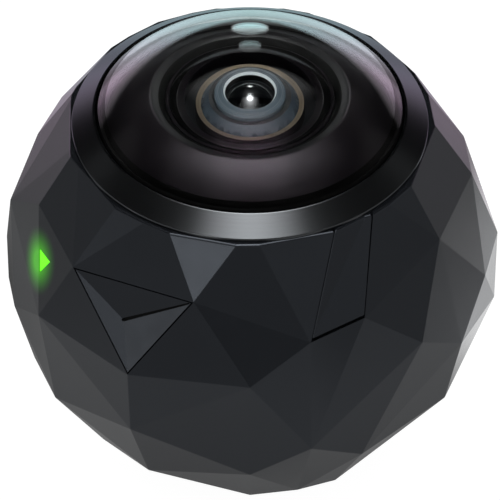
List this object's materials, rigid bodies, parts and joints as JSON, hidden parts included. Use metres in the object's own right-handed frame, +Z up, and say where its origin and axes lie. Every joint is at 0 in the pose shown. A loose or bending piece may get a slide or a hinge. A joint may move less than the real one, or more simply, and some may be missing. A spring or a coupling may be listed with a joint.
{
  "type": "360 degree camera",
  "caption": "Faceted ball camera with one very wide domed lens on top, a press button, a status light and a flat base with a tripod socket and charging contacts.",
  "frame": {"origin": "centre of the tripod socket's mouth, in the middle of the flat base", "axes": "+Z up along the lens axis, -Y towards the side that has the button and the microphone cover"},
  "size_m": [0.0613, 0.0599, 0.0589],
  "materials": {
    "body_plastic": "fine soft-touch texture",
    "bezel_metal": "satin black",
    "dome_glass": "coated, polished",
    "lens_glass": "coated, polished",
    "housing_black": "dull black",
    "barrel_metal": "blackened",
    "gold_metal": "anodised",
    "retainer_metal": "anodised",
    "seal_rubber": "moulded",
    "bush_brass": "turned",
    "contact_gold": "plated",
    "screw_steel": "plated",
    "motor_steel": "drawn",
    "board_laminate": "solder mask",
    "chip_black": "moulded",
    "can_steel": "tinned sheet",
    "spreader_metal": "milled",
    "frame_plastic": "moulded",
    "battery_wrap": "shrink film",
    "flex_film": "polyimide film",
    "connector_plastic": "moulded",
    "light_plastic": "clear green",
    "led_plastic": "moulded",
    "membrane_mesh": "woven",
    "mic_can": "plated",
    "antenna_ceramic": "fired",
    "plunger_plastic": "moulded"
  },
  "bodies": {
    "body": {"main_shell": "body_plastic", "base_cap": "body_plastic", "mic_cover": "body_plastic", "bezel_ring": "bezel_metal", "dome_lens": "dome_glass", "second_lens": "lens_glass", "third_lens": "lens_glass", "rear_lens": "lens_glass", "ir_filter": "lens_glass", "lens_housing": "housing_black", "second_lens_ring": "housing_black", "lens_barrel": "barrel_metal", "lens_spacer": "barrel_metal", "aperture_stop": "barrel_metal", "lens_lock_ring": "barrel_metal", "barrel_ring": "gold_metal", "lens_retainer": "retainer_metal", "base_seal": "seal_rubber", "dome_seal": "seal_rubber", "button_seal": "seal_rubber", "tripod_bush": "bush_brass", "charging_contacts": "contact_gold", "base_screws": "screw_steel", "barrel_screws": "screw_steel", "sensor_screws": "screw_steel", "board_screws": "screw_steel", "chassis_screws": "screw_steel", "button_screws": "screw_steel", "vibration_motor": "motor_steel", "contact_board": "board_laminate", "sensor_board": "board_laminate", "main_board": "board_laminate", "button_board": "board_laminate", "led_board": "board_laminate", "mic_board": "board_laminate", "sensor": "chip_black", "processor": "chip_black", "memory_chip": "chip_black", "button_switch": "chip_black", "shield_can": "can_steel", "heat_spreader": "spreader_metal", "chassis": "frame_plastic", "sensor_mount": "frame_plastic", "motor_bracket": "frame_plastic", "battery": "battery_wrap", "flex_cable": "flex_film", "flex_connectors": "connector_plastic", "light_pipe": "light_plastic", "status_led": "led_plastic", "mic_membrane": "membrane_mesh", "microphone": "mic_can", "wifi_antenna": "antenna_ceramic"},
    "button": {"button_cap": "body_plastic", "button_clip": "screw_steel", "switch_plunger": "plunger_plastic"},
    "weight": {"motor_weight": "motor_steel"}
  },
  "joints": [
    {"name": "button_press", "type": "slide", "parent": "body", "child": "button", "axis": [0.5065, 0.7754, -0.3771], "range_m": [0, 0.0004], "stiffness_N_per_m": 2500, "springref_m": -0.0002},
    {"name": "motor_spin", "type": "hinge", "parent": "body", "child": "weight", "pos_m": [0, 0.013, 0.0188], "axis": [1, 0, 0], "continuous": true}
  ]
}
